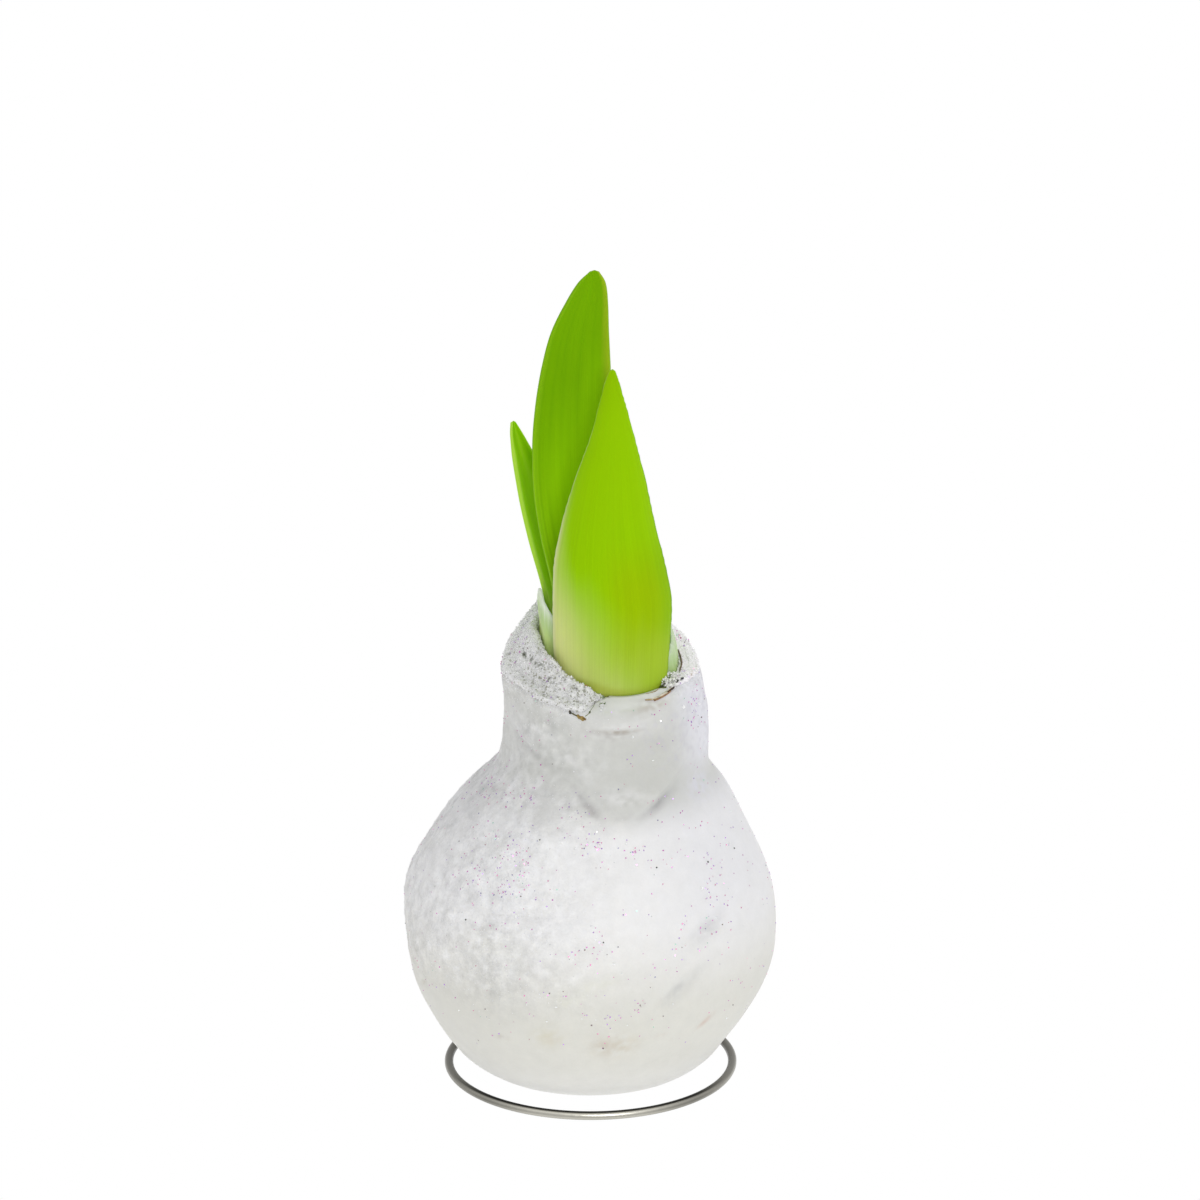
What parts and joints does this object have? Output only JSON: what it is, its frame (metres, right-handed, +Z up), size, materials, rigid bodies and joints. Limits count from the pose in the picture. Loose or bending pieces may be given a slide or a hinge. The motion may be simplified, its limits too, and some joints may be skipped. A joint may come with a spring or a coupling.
{
  "type": "waxed amaryllis bulb",
  "caption": "Amaryllis bulb dipped in white wax and frosted at its cut neck, with green leaves growing from the neck, standing on a wire ring.",
  "frame": {"origin": "on the surface that the wire ring stands on, at the centre of the ring, which is the middle of the bounding box's underside within 1 mm", "axes": "+Z up along the bulb and its leaves, -Y towards the front, where the broad front leaf faces, +X to the viewer's right"},
  "size_m": [0.0903, 0.0902, 0.1982],
  "materials": {
    "bulb_scales": "dry fibrous cut bulb scales",
    "wax": "satin off-white wax with fine glitter",
    "frost": "coarse granular artificial snow with glitter",
    "sheath": "pale translucent moist scale",
    "leaf": "fleshy leaf with a soft sheen",
    "wire": "drawn nickel-grey wire"
  },
  "bodies": {
    "root": {"bulb": "bulb_scales", "wax_coat": "wax", "frost_crust": "frost", "inner_sheath": "sheath", "leaf_front": "leaf", "leaf_tall": "leaf", "leaf_small": "leaf", "wire_stand": "wire"}
  },
  "joints": []
}
